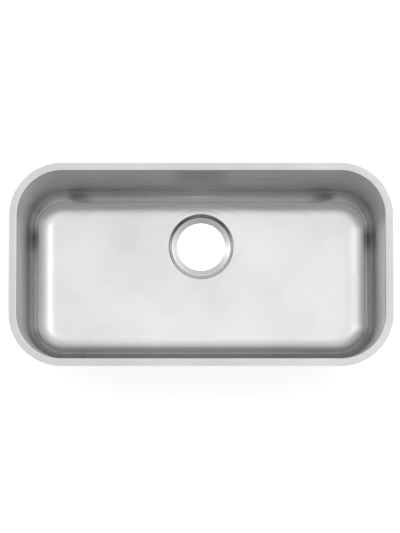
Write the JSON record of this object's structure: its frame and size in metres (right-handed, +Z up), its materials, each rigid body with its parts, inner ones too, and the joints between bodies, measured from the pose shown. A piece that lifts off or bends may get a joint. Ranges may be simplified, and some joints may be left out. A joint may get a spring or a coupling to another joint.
{
  "type": "undermount kitchen sink",
  "caption": "Undermount kitchen sink: a wide rounded stainless bowl with a slim flange, drafted walls, coved floor and a rear-set strainer hole, with sound-deadening pads on its outside.",
  "frame": {"origin": "centre of the flange's top face, which lies against the underside of the worktop", "axes": "+Z up, out of the bowl's mouth; +Y to the rear, the side that the drain is nearest to; +X to the right"},
  "size_m": [0.71, 0.378, 0.214],
  "materials": {
    "brushed_steel": "brushed",
    "deadening_coat": "sprayed, pebbled",
    "pad_rubber": "matt"
  },
  "bodies": {
    "root": {"bowl": "brushed_steel", "floor_coat": "deadening_coat", "floor_pad_left": "pad_rubber", "floor_pad_right": "pad_rubber", "floor_pad_front": "pad_rubber", "front_wall_pad_left": "pad_rubber", "front_wall_pad_right": "pad_rubber", "rear_wall_pad_left": "pad_rubber", "rear_wall_pad_right": "pad_rubber", "left_wall_pad": "pad_rubber", "right_wall_pad": "pad_rubber"}
  },
  "joints": []
}
